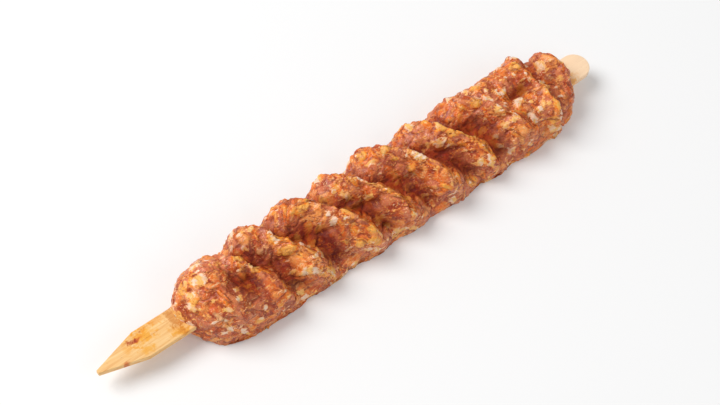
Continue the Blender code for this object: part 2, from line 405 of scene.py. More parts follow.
def unevenness(x, turn):
    """Low waves of a thing shaped by hand."""
    total = np.zeros(x.shape)
    for along, around, phase, height in LUMPS:
        wave = 2 * math.pi * along * x / STICK_LENGTH
        total += height * np.sin(wave + phase) * np.cos(around * turn - phase)
    return total


def section_radius(turn, half_width, rise, squareness):
    """Distance from the loaf's axis to a section of this half width and this rise over the axis."""
    half_height = np.where(np.cos(turn) > 0, rise, UNDERSIDE_DEPTH)
    squareness = np.where(np.cos(turn) > 0, squareness, np.maximum(squareness, FOOT_SQUARENESS))
    across = np.abs(np.sin(turn)) / half_width
    upward = np.abs(np.cos(turn)) / half_height
    return (across**squareness + upward**squareness) ** (-1 / squareness)


def closing(distance, turn, near, far, top, roundness):
    """Share of the full section left at this distance from an end of the loaf."""
    under = 0.5 + 0.5 * np.clip(np.sin(turn) / math.sin(EDGE_TURN), -1, 1)
    nearness = np.where(np.abs(turn) > math.pi / 2, under, turn > 0)
    side = far + (near - far) * nearness
    length = top + (side - top) * blend(END_TOP_TURN, END_SIDE_TURN, np.abs(turn))
    inside = np.clip(distance / length, 0.0, 1.0)
    return (1 - (1 - inside) ** roundness) ** (1 / roundness)


def slanted(turn):
    """The turn, run evenly back to 0 across the underside, so that slanted lines close up there."""
    back = np.sign(turn) * (math.pi - np.abs(turn)) * EDGE_TURN / (math.pi - EDGE_TURN)
    return np.where(np.abs(turn) > EDGE_TURN, back, turn)


def stations():
    """Distances of the rings from the tip, crowded together where the loaf closes."""
    crowd = round(END_CROWDING * END_ZONE / RING_STEP)
    end = END_ZONE * (np.arange(1, crowd + 1) / crowd) ** END_CROWDING
    middle_from = MEAT_FROM_TIP + END_ZONE
    middle_to = MEAT_TO_TIP - END_ZONE
    steps = round((middle_to - middle_from) / RING_STEP)
    middle = np.linspace(middle_from, middle_to, steps + 1)[1:-1]
    return np.concatenate([MEAT_FROM_TIP + end, middle, (MEAT_TO_TIP - end)[::-1]])


def turns():
    """Turns of a ring's points, from one foot over the top to the other, then underneath."""
    over = np.linspace(-EDGE_TURN, EDGE_TURN, COLUMNS_OVER + 1)
    under = np.linspace(EDGE_TURN, 2 * math.pi - EDGE_TURN, COLUMNS_UNDER + 1)[1:-1]
    return np.concatenate([over, np.where(under > math.pi, under - 2 * math.pi, under)])


def hugging_radius(turn, centre_z):
    """Distance from a centre inside the stick's section to the meat that hugs it, at each turn."""
    half_width = STICK_WIDTH / 2 - MOUTH_PRESS
    half_thickness = STICK_THICKNESS / 2 - MOUTH_PRESS
    toward_y = np.abs(np.sin(turn)) + TINY
    toward_z = np.cos(turn)
    room = np.where(toward_z > 0, half_thickness, -half_thickness) - (centre_z - STICK_MID_HEIGHT)
    return np.minimum(half_width / toward_y, room / (toward_z + np.where(toward_z > 0, TINY, -TINY)))


def slanted_places():
    """Each point's distance from the tip, the distance that its ridge is read off at, which runs
    back along the ridges' slant and wobbles, and its turn."""
    ring_x, turn = np.meshgrid(stations(), turns(), indexing="ij")
    straight = blend(0, STRAIGHT_ENDS, ring_x - MEAT_FROM_TIP)
    straight = straight * blend(0, STRAIGHT_ENDS, MEAT_TO_TIP - ring_x)
    tail = blend(TAIL_TWIST_FROM, TAIL_TWIST_TO, ring_x)
    far = blend(FAR_FROM_TURN, FAR_TO_TURN, turn)
    tail_share = TAIL_TWIST_NEAR + (TAIL_TWIST_FAR - TAIL_TWIST_NEAR) * far
    twist = RIDGE_TWIST * (1 - (1 - tail_share) * tail)
    x = ring_x + twist * straight * slanted(turn) / TWIST_TURN
    around = np.stack([x, MEAT_HALF_WIDTH * np.sin(turn), MEAT_HALF_WIDTH * np.cos(turn)], -1)
    wobble = WOBBLE_REACH * lattice_noise(WOBBLE_SEED)(around, WOBBLE_SIZE)
    wobble += RAGGED_REACH * lattice_noise(RAGGED_SEED)(around, RAGGED_SIZE)
    return x, x - twist * slanted(turn) / TWIST_TURN + wobble, turn


def meat_form():
    """Smooth form of the meat: points (ring, column, xyz) from the tip and the axis, with each
    point's share of ridge height, how sharp a rim it is on, how hollow it is there, its closing
    share and its turn."""
    x, straight_x, turn = slanted_places()
    ridge = 1 - (1 - rounded_ridge_share(straight_x, turn)) * foot_share(turn)
    width = MEAT_HALF_WIDTH + (MEAT_NEAR_WIDTH - MEAT_HALF_WIDTH) * blend(0, math.pi / 2, turn)
    skin = section_radius(turn, width, MEAT_TOP - CORE_HEIGHT, SECTION_SQUARENESS)
    core = section_radius(turn, CORE_HALF_WIDTH, CORE_RISE, CORE_SQUARENESS)
    pressed = core + (skin - core) * ridge
    nose = closing(x - MEAT_FROM_TIP, turn, NOSE_NEAR, NOSE_FAR, NOSE_TOP, NOSE_ROUNDNESS)
    end = closing(MEAT_TO_TIP - x, turn, TAIL_NEAR, TAIL_FAR, TAIL_TOP, TAIL_ROUNDNESS)
    closed = nose * end
    dent = dent_depth(x, turn)
    radius = (pressed - dent + unevenness(x, turn)) * closed
    centre_z = STICK_MID_HEIGHT + (CORE_HEIGHT - STICK_MID_HEIGHT) * blend(*AXIS_RISE, closed)
    mouth = hugging_radius(turn, np.minimum(centre_z, HIGHEST_MOUTH_CENTRE))
    radius = np.where(closed < MOUTH_SHARE, np.maximum(radius, mouth), radius)
    lean = RIDGE_LEAN * (ridge - 0.5) * np.sqrt(np.maximum(np.cos(turn - LEAN_TURN), 0.0)) * closed
    sideways = NOSE_SIDEWAYS * (1 - nose) * blend(*NOSE_SIDEWAYS_SHARES, nose)
    y = sideways - radius * np.sin(turn)
    z = centre_z + radius * np.cos(turn)
    slant = NOSE_SLANT * (1 - nose) * np.clip(-2 * y / STICK_WIDTH, -1, 1)
    points = np.stack([x + lean + slant, y, np.maximum(z, 0.0)], -1)
    hollow = np.maximum(1 - ridge, dent / DENT_SHADE_DEPTH) * closed
    ahead = rounded_ridge_share(straight_x + RIM_WIDTH, turn)
    behind = rounded_ridge_share(straight_x - RIM_WIDTH, turn)
    rim = np.maximum(ridge - (ahead + behind) / 2, 0.0) * foot_share(turn) * closed
    return points, ridge, rim, hollow, closed, turn


def outward(points):
    """Unit normals of a closed grid of rings."""
    along = np.gradient(points, axis=0)
    around = np.roll(points, -1, axis=1) - np.roll(points, 1, axis=1)
    normal = np.cross(around, along)
    normal /= np.maximum(np.linalg.norm(normal, axis=-1, keepdims=True), LEAST_AREA)
    return normal


# ---------------------------------------------------------------- relief of the mince


def scattered(low, high, spacing, seed):
    """Points about one spacing apart throughout a box, each off its place at random."""
    random = np.random.default_rng(seed)
    lines = [np.arange(a - spacing, b + spacing, spacing) for a, b in zip(low, high)]
    grid = np.stack(np.meshgrid(*lines, indexing="ij"), -1).reshape(-1, 3)
    return grid + random.uniform(-OFF_PLACE, OFF_PLACE, grid.shape) * spacing


def search_tree(points):
    """The points, sorted so that near ones are found fast."""
    tree = kdtree.KDTree(len(points))
    for index, point in enumerate(points):
        tree.insert(point, index)
    tree.balance()
    return tree


def cells(points, spacing, seed):
    """Splits the mince into lumps. Gives each point its lump's own random number, and how far it
    is from the crease to the next lump, from 0 in the crease to about 1 in a lump's middle."""
    flat = points.reshape(-1, 3)
    middles = scattered(flat.min(0), flat.max(0), spacing, seed)
    tree = search_tree(middles)
    owner = np.empty(len(flat), int)
    inside = np.empty(len(flat))
    for index, point in enumerate(flat):
        (_, first, near), (_, _, far) = tree.find_n(point, 2)
        owner[index] = first
        inside[index] = (far - near) / spacing
    number = np.random.default_rng(seed + 1).uniform(0, 1, len(middles))[owner]
    return number.reshape(points.shape[:-1]), inside.reshape(points.shape[:-1])


def scattered_bits(points, normal, chance, count, smallest, largest, seed):
    """How deep each point is inside one of many bits, from 0 outside to 1 in a bit's middle. The
    bits lie at random, each kept with the chance given for its place."""
    random = np.random.default_rng(seed)
    flat = points.reshape(-1, 3)
    facing = normal.reshape(-1, 3)
    tree = search_tree(flat)
    field = np.zeros(len(flat))
    kept = chance.reshape(-1)
    for middle in random.integers(0, len(flat), count):
        if random.uniform() > kept[middle]:
            continue
        size = smallest * (largest / smallest) ** (random.uniform() ** BIT_SMALLNESS)
        long = random.uniform(*BIT_STRETCH)
        direction = np.cross(facing[middle], random.normal(size=3))
        direction /= np.linalg.norm(direction)
        found = [index for _, index, _ in tree.find_range(flat[middle], size * long)]
        offset = flat[found] - flat[middle]
        lengthwise = offset @ direction
        across = np.sqrt(np.maximum((offset**2).sum(1) - lengthwise**2, 0))
        away = np.sqrt((lengthwise / (size * long)) ** 2 + (across / size) ** 2)
        field[found] = np.maximum(field[found], 1 - away)
    return field.reshape(points.shape[:-1])


def placed_bits(points, normal, turn):
    """How deep each point is inside the larger bits of each kind, and how far they lift it."""
    depth = {name: np.zeros(turn.shape) for name in ("fat", "paste", "tendon")}
    lift = np.zeros(turn.shape)
    for from_tip, degrees, half_length, half_width, swing, height, name in BITS:
        around = (turn - math.radians(degrees)) * MEAT_HALF_WIDTH
        away = (points[..., 0] - from_tip * MM) ** 2 + around**2
        middle = np.unravel_index(np.argmin(away), away.shape)
        facing = normal[middle]
        lengthwise = np.array([1.0, 0.0, 0.0]) - facing * facing[0]
        lengthwise /= np.linalg.norm(lengthwise)
        swing = math.radians(swing)
        direction = lengthwise * math.cos(swing) + np.cross(lengthwise, facing) * math.sin(swing)
        offset = (points - points[middle]) / MM
        long = offset @ direction
        across = np.sqrt(np.maximum((offset**2).sum(-1) - long**2, 0))
        inside = np.maximum(1 - np.hypot(long / half_length, across / half_width), 0)
        depth[name] = np.maximum(depth[name], inside)
        lift = np.maximum(lift, height * MM * blend(0, BIT_SHOULDER, inside))
    return depth, lift


def mince_relief(wide, nugget, nugget_inside, grain_inside, smeared, fold, bits):
    """How far the broken surface stands off the smooth form, with the height of the bits on it."""
    lumpiness = 1 - SMEAR_EVENING * smeared
    relief = KNOB_RELIEF * (lattice_noise(KNOB_SEED)(wide, KNOB_SIZE) - KNOB_SINK)
    relief += NUGGET_RELIEF * (blend(0, NUGGET_SHOULDER, nugget_inside) - NUGGET_SINK) * lumpiness
    relief += NUGGET_UNEVENNESS * (nugget - 0.5) * blend(0, NUGGET_BROW, nugget_inside) * lumpiness
    relief += GRAIN_RELIEF * (blend(0, GRAIN_SHOULDER, grain_inside) - GRAIN_SINK)
    relief += bits
    relief -= FOLD_DEPTH * (fold - FOLD_SINK)
    relief += SHRED_RELIEF * lattice_noise(SHRED_SEED)(wide, SHRED_SIZE)
    return relief


def make_meat(material):
    """The meat's surface, with the values that its material colours it by."""
    points, ridge, rim, hollow, closed, turn = meat_form()
    normal = outward(points)
    wide = swirled(points, SWIRL_SIZE, SWIRL_REACH, SWIRL_SEED)
    drawn_out = wide * np.array(DRAWN_OUT)
    nugget, nugget_inside = cells(drawn_out, NUGGET_SIZE, NUGGET_SEED)
    grain, grain_inside = cells(drawn_out, GRAIN_SIZE, GRAIN_SEED)
    smeared = blend(*SMEARED, lattice_noise(SMEAR_SEED)(wide, SMEAR_SIZE))
    fold_noise = lattice_noise(FOLD_SEED)(wide * np.array(FOLDED), FOLD_SIZE)
    fold = blend(FOLD_EDGE, 1.0, 1 - np.abs(fold_noise))

    large, lift = placed_bits(points, normal, turn)
    chance = FAT_IN_HOLLOWS + ridge
    fat = scattered_bits(points, normal, chance, FAT_BITS, FAT_SMALLEST, FAT_LARGEST, FAT_SEED)
    fat = np.maximum(fat, large["fat"])
    chance = GOLD_IN_HOLLOWS + blend(*GOLD_ON_RIMS, rim)
    gold = scattered_bits(points, normal, chance, GOLD_BITS, GOLD_SMALLEST, GOLD_LARGEST, GOLD_SEED)
    gold = np.maximum(gold, large["paste"])
    bits = BIT_RELIEF * np.sqrt(np.maximum(fat, gold)) + lift

    free = blend(*SMOOTH_MOUTHS, closed)
    relief = mince_relief(wide, nugget, nugget_inside, grain_inside, smeared, fold, bits)
    points = points + normal * (relief * free)[..., None]
    points[..., 2] = np.maximum(points[..., 2], 0.0)
    mesh = grid_mesh("minced_meat_surface", points + np.array([TIP_X, AXIS_Y, 0.0]))

    kind = np.mod(nugget * KIND_SHUFFLE, 1.0)
    lean_nose = LEAN_NOSE * blend(LEAN_NOSE_TO, LEAN_NOSE_FROM, points[..., 0])
    paste_share = PASTE_SHARE + PASTE_ON_CRESTS * blend(0.0, PASTE_CREST, rim)
    paste_share = paste_share - PASTE_LOST_IN_SMEARS * smeared - lean_nose
    for name, values in (
        ("tone", np.mod(nugget * TONE_SHUFFLE, 1.0)),
        ("paste", kind < paste_share),
        ("mauve", kind > 1 - MAUVE_SHARE - MAUVE_IN_SMEARS * smeared - lean_nose),
        ("inside", nugget_inside),
        ("grain", grain),
        ("fat", fat),
        ("golden", gold),
        ("tendon", large["tendon"]),
        ("hollow", hollow),
        ("fold", fold),
        ("rim", blend(*RIM_HIGHLIGHT_RANGE, rim) * free),
    ):
        layer = mesh.attributes.new(name, "FLOAT", "POINT")
        layer.data.foreach_set("value", values.astype(np.float32).ravel())
    return add_piece("minced_meat_surface", mesh, material)


def stick_outline():
    """Plan of the stick, as (x, y), from its blunt point round its half-round end and back."""
    half = STICK_WIDTH / 2
    points = [(0.0, -TIP_WIDTH / 2), (TIP_LENGTH, -half)]
    for step in range(END_ARC_STEPS + 1):
        angle = math.pi * step / END_ARC_STEPS - math.pi / 2
        points.append((STICK_LENGTH - half + half * math.cos(angle), half * math.sin(angle)))
    points += [(TIP_LENGTH, half), (0.0, TIP_WIDTH / 2)]
    return np.array(points)


def inset(outline, distance):
    """A closed outline moved inward by a distance, each corner along its own bisector."""
    forward = np.roll(outline, -1, 0) - outline
    forward /= np.linalg.norm(forward, axis=1, keepdims=True)
    inward = np.stack([-forward[:, 1], forward[:, 0]], 1)
    bisector = inward + np.roll(inward, 1, 0)
    bisector /= (bisector * inward).sum(1, keepdims=True)
    return outline + bisector * distance


def make_stick(material):
    """The flat stick, its long edges eased by sanding."""
    outline = stick_outline()
    rounding = STICK_EDGE_ROUNDING
    rings = []
    for step in range(EDGE_STEPS + 1):
        angle = math.pi / 2 * step / EDGE_STEPS
        rings.append((rounding * (1 - math.sin(angle)), rounding * (1 - math.cos(angle))))
    half = STICK_THICKNESS / 2
    levels = [(inward, STICK_MID_HEIGHT - half + up) for inward, up in rings]
    levels += [(inward, STICK_MID_HEIGHT + half - up) for inward, up in reversed(rings)]
    vertices = []
    for inward, z in levels:
        for x, y in inset(outline, inward):
            vertices.append((TIP_X + x, AXIS_Y + y, z))
    count = len(outline)
    faces = [tuple(reversed(range(count)))]
    for level in range(len(levels) - 1):
        for i in range(count):
            j = (i + 1) % count
            low, high = level * count, (level + 1) * count
            faces.append((low + i, low + j, high + j, high + i))
    top = (len(levels) - 1) * count
    faces.append(tuple(range(top, top + count)))
    mesh = bpy.data.meshes.new("birch_stick")
    mesh.from_pydata(vertices, [], faces)
    mesh.update(calc_edges=True)
    mesh.shade_smooth()
    mesh.set_sharp_from_angle(angle=STICK_SHARP_ANGLE)
    return add_piece("birch_stick", mesh, material)


def grid_mesh(name, points):
    """Closed mesh from a grid of rings, its first and last ring joined by the slot's walls."""
    rings, columns = points.shape[:2]
    ring, column = np.meshgrid(np.arange(rings), np.arange(columns), indexing="ij")
    next_ring = (ring + 1) % rings
    next_column = (column + 1) % columns
    corners = (
        ring * columns + column,
        ring * columns + next_column,
        next_ring * columns + next_column,
        next_ring * columns + column,
    )
    quads = np.stack(corners, -1).reshape(-1, 4)
    mesh = bpy.data.meshes.new(name)
    mesh.vertices.add(rings * columns)
    mesh.vertices.foreach_set("co", points.astype(np.float32).ravel())
    mesh.loops.add(quads.size)
    mesh.loops.foreach_set("vertex_index", quads.astype(np.int32).ravel())
    mesh.polygons.add(len(quads))
    mesh.polygons.foreach_set("loop_start", np.arange(0, quads.size, 4, dtype=np.int32))
    mesh.update(calc_edges=True)
    mesh.validate()
    mesh.shade_smooth()
    return mesh


def add_piece(name, mesh, material):
    """Puts the mesh in the scene as one object with this material."""
    mesh.materials.append(material)
    piece = bpy.data.objects.new(name, mesh)
    bpy.context.scene.collection.objects.link(piece)
    return piece


# ---------------------------------------------------------------- node helpers

# Places of a Mix node's colour sockets
MIX_SHARE = 0
MIX_FIRST = 6
MIX_SECOND = 7
MIX_RESULT = 2


def add_node(tree, kind, inputs=None, **settings):
    """Adds a node, sets its settings, and fills its sockets with values or links."""
    node = tree.nodes.new(kind)
    for name, value in settings.items():
        setattr(node, name, value)
    for name, value in (inputs or {}).items():
        if isinstance(value, bpy.types.NodeSocket):
            tree.links.new(value, node.inputs[name])
        else:
            node.inputs[name].default_value = value
    return node


def ramp(tree, value, stops):
    """Colours between stops, each (position, colour)."""
    node = add_node(tree, "ShaderNodeValToRGB", {"Fac": value})
    elements = node.color_ramp.elements
    while len(elements) < len(stops):
        elements.new(0.5)
    for element, (position, colour) in zip(elements, stops):
        element.position = position
        element.color = colour
    return node.outputs["Color"]


def spread(tree, value, low, high, to_low=0.0, to_high=1.0):
    """The value mapped from low..high to to_low..to_high, with soft ends."""
    inputs = {
        "Value": value,
        "From Min": low,
        "From Max": high,
        "To Min": to_low,
        "To Max": to_high,
    }
    node = add_node(tree, "ShaderNodeMapRange", inputs, interpolation_type="SMOOTHSTEP")
    return node.outputs["Result"]


def maths(tree, operation, first, second):
    """The result of a sum on two values."""
    return add_node(tree, "ShaderNodeMath", {0: first, 1: second}, operation=operation).outputs[0]


def mixed(tree, share, first, second, blend_type="MIX"):
    """Two colours mixed by a share."""
    inputs = {MIX_SHARE: share, MIX_FIRST: first, MIX_SECOND: second}
    node = add_node(tree, "ShaderNodeMix", inputs, data_type="RGBA", blend_type=blend_type)
    return node.outputs[MIX_RESULT]


def attribute(tree, name):
    """A value that the mesh carries at each of its points."""
    return add_node(tree, "ShaderNodeAttribute", attribute_name=name).outputs["Fac"]


def wavering(tree, value, waver, share=1.0):
    """The value with a share of the waver added, so that edges drawn at it come out ragged."""
    return maths(tree, "ADD", value, maths(tree, "MULTIPLY", waver, share))


def paint(red, green, blue):
    """A colour as the eye names it, 0 to 255 a channel, turned into light by the sRGB curve."""
    values = [channel / 255 for channel in (red, green, blue)]
    light = [v / 12.92 if v < 0.04045 else ((v + 0.055) / 1.055) ** 2.4 for v in values]
    return (*light, 1.0)


def new_material(name, look):
    """A material with the shader's constant sockets set, its node tree and its shader."""
    material = bpy.data.materials.new(name)
    material.use_nodes = True
    shader = material.node_tree.nodes["Principled BSDF"]
    for socket, value in look.items():
        shader.inputs[socket].default_value = value
    return material, material.node_tree, shader


def raise_bumps(tree, shader, height, strength, distance):
    inputs = {"Height": height, "Strength": strength, "Distance": distance}
    bump = add_node(tree, "ShaderNodeBump", inputs)
    tree.links.new(bump.outputs["Normal"], shader.inputs["Normal"])


# ---------------------------------------------------------------- effects that materials share

NOISE_SOCKETS = ("Fineness", "Detail", "Distortion", "Roughness")
WAVER_BAND = (0.25, 0.75)


def new_group(name, vectors, values, results):
    """A node group with vector inputs, value inputs and value outputs, and its inputs' sockets."""
    group = bpy.data.node_groups.new(name, "ShaderNodeTree")
    for socket in vectors:
        group.interface.new_socket(socket, in_out="INPUT", socket_type="NodeSocketVector")
    for socket in values:
        group.interface.new_socket(socket, in_out="INPUT", socket_type="NodeSocketFloat")
    for socket in results:
        group.interface.new_socket(socket, in_out="OUTPUT", socket_type="NodeSocketFloat")
    return group, add_node(group, "NodeGroupInput").outputs


def noise_in_group(group, given, place):
    """The value, from 0 to 1, of noise with the settings that the group is given."""
    inputs = {
        "Vector": place,
        "Scale": given["Fineness"],
        "Detail": given["Detail"],
        "Roughness": given["Roughness"],
        "Distortion": given["Distortion"],
    }
    return add_node(group, "ShaderNodeTexNoise", inputs).outputs["Fac"]


def make_streaks_group():
    """Noise from 0 to 1, drawn out along one direction, as shreds of meat and wood grain are."""
    group, given = new_group("streaks", ("Place", "Turn", "Stretch"), NOISE_SOCKETS, ("Streaks",))
    inputs = {"Vector": given["Place"], "Rotation": given["Turn"], "Scale": given["Stretch"]}
    place = add_node(group, "ShaderNodeMapping", inputs).outputs["Vector"]
    add_node(group, "NodeGroupOutput", {"Streaks": noise_in_group(group, given, place)})


def make_mottle_group():
    """Blotchy noise: the mottle from 0 to 1, and the waver about 0 that makes edges ragged."""
    group, given = new_group("mottle", ("Place",), (*NOISE_SOCKETS, "Reach"), ("Mottle", "Waver"))
    mottle = noise_in_group(group, given, given["Place"])
    below = maths(group, "MULTIPLY", given["Reach"], -1.0)
    waver = spread(group, mottle, *WAVER_BAND, below, given["Reach"])
    add_node(group, "NodeGroupOutput", {"Mottle": mottle, "Waver": waver})


def noise_settings(size, detail, distortion, roughness):
    """Settings of noise whose lumps have this size in metres, by the groups' socket names."""
    return dict(zip(NOISE_SOCKETS, (1 / size, detail, distortion, roughness)))


def streaks(tree, place, stretch, turn, *noise):
    inputs = {"Place": place, "Turn": turn, "Stretch": stretch, **noise_settings(*noise)}
    group = bpy.data.node_groups["streaks"]
    return add_node(tree, "ShaderNodeGroup", inputs, node_tree=group).outputs["Streaks"]


def mottled(tree, place, reach, *noise):
    """The mottle and the waver."""
    inputs = {"Place": place, "Reach": reach, **noise_settings(*noise)}
    group = bpy.data.node_groups["mottle"]
    node = add_node(tree, "ShaderNodeGroup", inputs, node_tree=group)
    return node.outputs["Mottle"], node.outputs["Waver"]


# ---------------------------------------------------------------- moist minced meat

MEAT_LOOK = {
    "Specular IOR Level": 0.32,
    "Coat Roughness": 0.14,
    "Subsurface Weight": 0.15,
    "Subsurface Radius": (1.0, 0.35, 0.15),
    "Subsurface Scale": 1.2 * MM,
}

# Noise: (size, detail, distortion, roughness)
BROAD_MOTTLE = (5.0 * MM, 4.0, 1.2, 0.5)
SOFT_MOTTLE = (1.6 * MM, 2.0, 1.0, 0.5)
FINE_MOTTLE = (0.6 * MM, 2.0, 0.5, 0.5)
WAVER_REACH = 0.30
SHREDS = (1.0 * MM, 3.0, 2.0, 0.6)
SHRED_STRETCH = (0.22, 1.0, 1.0)
SHRED_TURN = (0.2, 0.5, 0.9)

LEAN_SHADES = (
    (0.00, paint(166, 56, 10)),
    (0.35, paint(216, 92, 24)),
    (0.65, paint(238, 124, 42)),
    (1.00, paint(255, 164, 82)),
)
MAUVE = paint(216, 118, 76)
DEEP_PASTE = paint(246, 118, 14)
BRIGHT_PASTE = paint(255, 182, 62)
# Painted shade, mixed into the creases between lumps and along the folds
PAINTED_CREASE_SHADE = paint(148, 48, 14)
# Golden paste on the crests' rims, made lighter still as a painted highlight
RIM_GOLD_AND_HIGHLIGHT = paint(255, 179, 78)
FAT_EDGE = paint(254, 160, 66)
YELLOW_FAT = paint(255, 195, 108)
WHITE_FAT = paint(255, 220, 192)
# Painted shade, multiplied into the colour down in the valleys and dents
PAINTED_HOLLOW_SHADE = paint(170, 114, 44)

# Where each look sets in on the value that carries it, where it is full, and its strength at each
TONE_CONTRAST = 1.08
TONE_DRIFT = (0.30, 0.70, -0.32, 0.34)
LUMP_KIND = (0.42, 0.58, 0.0, 0.85)
PASTE_MIDDLE = (0.1, 0.7)
BIT_WAVER = 0.7
BIT_SPREAD = (0.06, 0.22, 0.0, 0.90)
BIT_HEART = (0.12, 0.50)
BIT_MOTTLE = (0.25, 0.55)
CREASE_WAVER = 0.4
CREASE_SPREAD = (-0.02, 0.24, 0.85, 0.0)
CREASE_DRIFT = (0.38, 0.60, 0.20, 1.0)
FOLD_SPREAD = (0.35, 1.05, 0.0, 0.80)
RIM_HIGHLIGHT_SPREAD = (0.35, 0.95, 0.0, 0.75)
FAT_WAVER = 0.85
FAT_STREAKS = (0.35, 0.65, -0.26, 0.12)
FAT_SPREAD = (0.08, 0.28, 0.0, 0.92)
FAT_HEART = (0.12, 0.50)
FAT_KIND = (0.30, 0.70)
HOLLOW_SPREAD = (0.26, 0.92)

MOIST_ROUGHNESS = (0.3, 0.7, 0.20, 0.48)
ROUGHER_IN_HOLLOWS = (0.0, 1.0, 0.0, 0.40)
COAT_OUT_OF_HOLLOWS = (0.0, 1.0, 0.30, 0.03)
FINE_BUMPS = 0.30
SHRED_BUMPS = 0.55
MEAT_BUMPS = (1.0, 0.6 * MM)

# Thin marks: (noise that they follow; where on it they show, and how strongly; colour)
THIN_MARKS = (
    ("shreds", (0.59, 0.64, 0.0, 0.82), paint(255, 208, 156)),
    ("shreds", (0.33, 0.40, 0.52, 0.0), paint(152, 54, 18)),
    ("flecks", (0.60, 0.70, 0.0, 0.18), paint(255, 206, 150)),
    ("flecks", (0.32, 0.40, 0.10, 0.0), paint(156, 60, 26)),
)

# Bits: (value that the mesh carries, colour at a bit's edge, colour of its heart)
COLOURED_BITS = (
    ("golden", paint(255, 137, 16), paint(255, 188, 82)),
    ("tendon", paint(200, 116, 66), paint(240, 180, 122)),
)


def lump_colour(tree, broad, waver):
    """Lean lumps of many tones, with mauve ones and paste-coloured ones among them."""
    tone = maths(tree, "MULTIPLY", attribute(tree, "tone"), TONE_CONTRAST)
    tone = maths(tree, "ADD", tone, spread(tree, broad, *TONE_DRIFT))
    colour = ramp(tree, tone, LEAN_SHADES)
    mauve = spread(tree, wavering(tree, attribute(tree, "mauve"), waver), *LUMP_KIND)
    colour = mixed(tree, mauve, colour, MAUVE)
    paste = spread(tree, wavering(tree, attribute(tree, "paste"), waver), *LUMP_KIND)
    middle = spread(tree, wavering(tree, attribute(tree, "inside"), waver), *PASTE_MIDDLE)
    return mixed(tree, paste, colour, mixed(tree, middle, DEEP_PASTE, BRIGHT_PASTE))


def add_thin_marks(tree, colour, shreds, fine):
    for noise, shown, mark in THIN_MARKS:
        strength = spread(tree, shreds if noise == "shreds" else fine, *shown)
        colour = mixed(tree, strength, colour, mark)
    return colour


def add_coloured_bits(tree, colour, soft, waver):
    for name, edge, heart in COLOURED_BITS:
        depth = wavering(tree, attribute(tree, name), waver, BIT_WAVER)
        heartness = spread(tree, depth, *BIT_HEART)
        heartness = maths(tree, "MULTIPLY", heartness, spread(tree, soft, *BIT_MOTTLE))
        bit = mixed(tree, heartness, edge, heart)
        colour = mixed(tree, spread(tree, depth, *BIT_SPREAD), colour, bit)
    return colour


def add_crease_shade_and_rim_highlight(tree, colour, broad, waver):
    # Painted shade: the colour goes dark brown toward the creases between lumps and along the folds,
    # where shade falls
    inside = wavering(tree, attribute(tree, "inside"), waver, CREASE_WAVER)
    crease_shade = spread(tree, inside, *CREASE_SPREAD)
    crease_shade = maths(tree, "MULTIPLY", crease_shade, spread(tree, broad, *CREASE_DRIFT))
    fold = spread(tree, wavering(tree, attribute(tree, "fold"), waver), *FOLD_SPREAD)
    colour = mixed(tree, maths(tree, "MAXIMUM", crease_shade, fold), colour, PAINTED_CREASE_SHADE)
    # The rims get golden paste colour and a painted highlight, lighter where the crest is sharpest
    rim = spread(tree, wavering(tree, attribute(tree, "rim"), waver), *RIM_HIGHLIGHT_SPREAD)
    return mixed(tree, rim, colour, RIM_GOLD_AND_HIGHLIGHT)


def add_fat(tree, colour, shreds, waver):
    """Bits of fat, torn along the shreds, some yellow at heart and some white."""
    depth = wavering(tree, attribute(tree, "fat"), waver, FAT_WAVER)
    depth = maths(tree, "ADD", depth, spread(tree, shreds, *FAT_STREAKS))
    kind = spread(tree, attribute(tree, "grain"), *FAT_KIND)
    heart = mixed(tree, kind, YELLOW_FAT, WHITE_FAT)
    fat = mixed(tree, spread(tree, depth, *FAT_HEART), FAT_EDGE, heart)
    return mixed(tree, spread(tree, depth, *FAT_SPREAD), colour, fat)


def make_meat_material():
    material, tree, shader = new_material("moist minced meat", MEAT_LOOK)
    place = add_node(tree, "ShaderNodeTexCoord").outputs["Object"]
    broad, _ = mottled(tree, place, 0.0, *BROAD_MOTTLE)
    soft, waver = mottled(tree, place, WAVER_REACH, *SOFT_MOTTLE)
    fine, _ = mottled(tree, place, 0.0, *FINE_MOTTLE)
    shreds = streaks(tree, place, SHRED_STRETCH, SHRED_TURN, *SHREDS)

    colour = lump_colour(tree, broad, waver)
    colour = add_thin_marks(tree, colour, shreds, fine)
    colour = add_coloured_bits(tree, colour, soft, waver)
    colour = add_crease_shade_and_rim_highlight(tree, colour, broad, waver)
    colour = add_fat(tree, colour, shreds, waver)
    # Painted shade: the colour is darkened in the valleys and dents, where shade falls
    hollow = spread(tree, attribute(tree, "hollow"), *HOLLOW_SPREAD)
    colour = mixed(tree, hollow, colour, PAINTED_HOLLOW_SHADE, "MULTIPLY")
    tree.links.new(colour, shader.inputs["Base Color"])

    roughness = spread(tree, soft, *MOIST_ROUGHNESS)
    roughness = maths(tree, "ADD", roughness, spread(tree, hollow, *ROUGHER_IN_HOLLOWS))
    tree.links.new(roughness, shader.inputs["Roughness"])
    tree.links.new(spread(tree, hollow, *COAT_OUT_OF_HOLLOWS), shader.inputs["Coat Weight"])
    height = maths(tree, "ADD", soft, maths(tree, "MULTIPLY", fine, FINE_BUMPS))
    height = maths(tree, "ADD", height, maths(tree, "MULTIPLY", shreds, SHRED_BUMPS))
    raise_bumps(tree, shader, height, *MEAT_BUMPS)
    return material


# ---------------------------------------------------------------- pale birch wood

